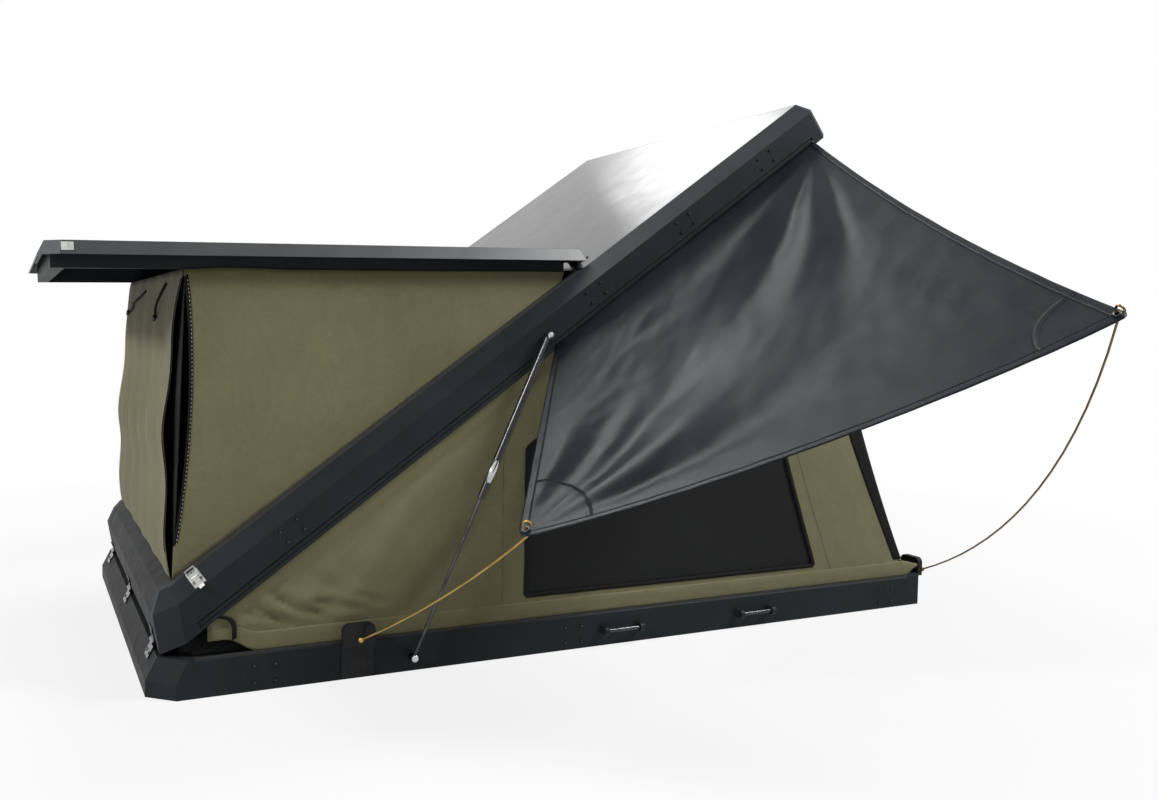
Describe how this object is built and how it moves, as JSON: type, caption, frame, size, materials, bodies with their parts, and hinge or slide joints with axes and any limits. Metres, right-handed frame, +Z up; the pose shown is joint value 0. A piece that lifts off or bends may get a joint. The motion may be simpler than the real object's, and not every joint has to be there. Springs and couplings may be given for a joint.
{
  "type": "roof top tent",
  "caption": "Folding hard shell roof top tent, open: wedge lid on gas struts, level hatch, olive canvas walls and a dark door flap held out by two spring rods.",
  "frame": {"origin": "centre of the base's underside, on the lower face of the floor spine", "axes": "+X to the free end of the lid, -Y to the door side, +Z up"},
  "size_m": [2.4291, 2.5275, 1.4466],
  "materials": {
    "shell_black": "satin black powder coat",
    "panel_gloss": "gloss black skin",
    "floor_alloy": "mill finish",
    "bolt_black": "black oxide",
    "seal_rubber": "matte",
    "bed_cloth": "woven cover",
    "latch_steel": "brushed stainless steel",
    "bracket_plastic": "moulded, fine grain",
    "wall_canvas": "olive ripstop canvas",
    "net_black": "fine net",
    "flap_grey": "coated canvas, inner side dark grey",
    "rod_gold": "yellow zinc"
  },
  "bodies": {
    "base": {"base_side_rail_near": "shell_black", "base_side_rail_far": "shell_black", "base_front_rail": "shell_black", "base_rear_rail": "shell_black", "base_corners": "shell_black", "floor_panel": "floor_alloy", "floor_beams": "floor_alloy", "mounting_track_near": "floor_alloy", "mounting_track_far": "floor_alloy", "base_bolts": "bolt_black", "base_seal": "seal_rubber", "mattress": "bed_cloth", "ladder_bars": "latch_steel", "ladder_brackets": "bracket_plastic", "rod_holders": "bracket_plastic", "hinge_base_leaves": "bolt_black", "rear_keepers": "latch_steel", "lower_wall_near": "wall_canvas", "lower_wall_far": "wall_canvas", "lower_wall_rear": "wall_canvas", "door_mesh": "net_black", "canvas_skirt": "wall_canvas"},
    "lid": {"lid_side_rail_near": "shell_black", "lid_side_rail_far": "shell_black", "lid_front_apron": "shell_black", "lid_rear_rail": "shell_black", "lid_corners": "shell_black", "lid_top_panel": "panel_gloss", "lid_cross_beams": "shell_black", "lid_opening_trim": "seal_rubber", "lid_bolts": "bolt_black", "hinge_lid_leaves": "bolt_black", "hatch_hinge_lid_leaves": "bolt_black", "hatch_latch_plates": "latch_steel", "rear_latch_plates": "latch_steel", "awning": "flap_grey", "awning_grommets": "latch_steel", "upper_wall_near": "wall_canvas", "upper_wall_far": "wall_canvas", "upper_wall_front": "wall_canvas", "upper_mesh_front": "net_black"},
    "hatch": {"hatch_rails": "shell_black", "hatch_panel": "panel_gloss", "hatch_inner_frame": "shell_black", "hatch_hinge_leaves": "bolt_black", "hatch_keepers": "latch_steel"},
    "lid_strut_barrels": {"strut_barrels": "bolt_black"},
    "lid_strut_rods": {"strut_rods": "bolt_black"},
    "hatch_strut_tubes": {"hatch_strut_barrels": "bolt_black"},
    "hatch_strut_shafts": {"hatch_strut_rods": "bolt_black"},
    "front_rod": {"awning_rod_front": "rod_gold"},
    "rear_rod": {"awning_rod_rear": "rod_gold"},
    "front_knob": {"clamp_knob_front": "bracket_plastic"},
    "rear_knob": {"clamp_knob_rear": "bracket_plastic"},
    "near_lever": {"latch_lever_near": "latch_steel"},
    "far_lever": {"latch_lever_far": "latch_steel"},
    "near_bail": {"latch_bail_near": "latch_steel"},
    "far_bail": {"latch_bail_far": "latch_steel"},
    "near_hook": {"rear_latch_near": "latch_steel"},
    "far_hook": {"rear_latch_far": "latch_steel"}
  },
  "joints": [
    {"name": "lid_hinge", "type": "hinge", "parent": "base", "child": "lid", "pos_m": [-1.0723, 0, 0.097], "axis": [0, 1, 0], "range_deg": [0, 36], "deforming": ["lower_wall_near", "lower_wall_far", "lower_wall_rear", "door_mesh", "canvas_skirt", "awning", "awning_grommets"]},
    {"name": "hatch_hinge", "type": "hinge", "parent": "lid", "child": "hatch", "pos_m": [-0.02522, 0, 0.99001], "axis": [0, -1, 0], "range_deg": [0, 34.4], "deforming": ["upper_wall_near", "upper_wall_far", "upper_wall_front", "upper_mesh_front"]},
    {"name": "lid_strut_swing", "type": "hinge", "parent": "lid", "child": "lid_strut_barrels", "pos_m": [-0.17316, 0, 0.79723], "axis": [0, 1, 0], "range_deg": [0, 20.24]},
    {"name": "lid_strut_stroke", "type": "slide", "parent": "lid_strut_barrels", "child": "lid_strut_rods", "axis": [0.4101, 0, 0.912], "range_m": [0, 0.24375]},
    {"name": "hatch_strut_swing", "type": "hinge", "parent": "lid", "child": "hatch_strut_tubes", "pos_m": [-0.56038, 0, 0.53568], "axis": [0, 1, 0], "range_deg": [0, 24.32]},
    {"name": "hatch_strut_stroke", "type": "slide", "parent": "hatch_strut_tubes", "child": "hatch_strut_shafts", "axis": [-0.396, 0, -0.9182], "range_m": [0, 0.11683]},
    {"name": "front_rod_swing", "type": "hinge", "parent": "base", "child": "front_rod", "pos_m": [-0.643, -0.714, 0.095], "axis": [0.0625, 0.5949, 0.8013], "range_deg": [0, 62.46]},
    {"name": "rear_rod_swing", "type": "hinge", "parent": "base", "child": "rear_rod", "pos_m": [1.124, -0.659, 0.095], "axis": [0, 0.2783, 0.9605], "range_deg": [0, 198.11]},
    {"name": "front_knob_turn", "type": "hinge", "parent": "base", "child": "front_knob", "pos_m": [-0.623, -0.7104, 0.118], "axis": [0, -1, 0], "range_deg": [0, 180]},
    {"name": "rear_knob_turn", "type": "hinge", "parent": "base", "child": "rear_knob", "pos_m": [1.1204, -0.613, 0.113], "axis": [1, 0, 0], "range_deg": [0, 180]},
    {"name": "near_lever_turn", "type": "hinge", "parent": "lid", "child": "near_lever", "pos_m": [-0.999, -0.66638, 0.26323], "axis": [-0.809, 0, -0.5878], "range_deg": [0, 100]},
    {"name": "near_bail_turn", "type": "hinge", "parent": "near_lever", "child": "near_bail", "pos_m": [-0.99745, -0.67288, 0.2611], "axis": [-0.809, 0, -0.5878], "range_deg": [-100, 0]},
    {"name": "far_lever_turn", "type": "hinge", "parent": "lid", "child": "far_lever", "pos_m": [-0.999, 0.66638, 0.26323], "axis": [0.809, 0, 0.5878], "range_deg": [0, 100]},
    {"name": "far_bail_turn", "type": "hinge", "parent": "far_lever", "child": "far_bail", "pos_m": [-0.99745, 0.67288, 0.2611], "axis": [0.809, 0, 0.5878], "range_deg": [-100, 0]},
    {"name": "near_hook_turn", "type": "hinge", "parent": "lid", "child": "near_hook", "pos_m": [0.6614, -0.38, 1.41308], "axis": [0, -1, 0], "range_deg": [0, 110]},
    {"name": "far_hook_turn", "type": "hinge", "parent": "lid", "child": "far_hook", "pos_m": [0.6614, 0.38, 1.41308], "axis": [0, -1, 0], "range_deg": [0, 110]}
  ],
  "couplings": [
    {"joint": "lid_strut_swing", "follows": "lid_hinge", "ratio": 0.56183},
    {"joint": "lid_strut_stroke", "follows": "lid_hinge", "m_per_rad": 0.38778},
    {"joint": "hatch_strut_swing", "follows": "hatch_hinge", "ratio": 0.70677},
    {"joint": "hatch_strut_stroke", "follows": "hatch_hinge", "m_per_rad": 0.19442},
    {"joint": "front_rod_swing", "follows": "lid_hinge", "ratio": 1.7347},
    {"joint": "rear_rod_swing", "follows": "lid_hinge", "ratio": 5.5028},
    {"joint": "near_bail_turn", "follows": "near_lever_turn", "ratio": -1},
    {"joint": "far_bail_turn", "follows": "far_lever_turn", "ratio": -1}
  ]
}
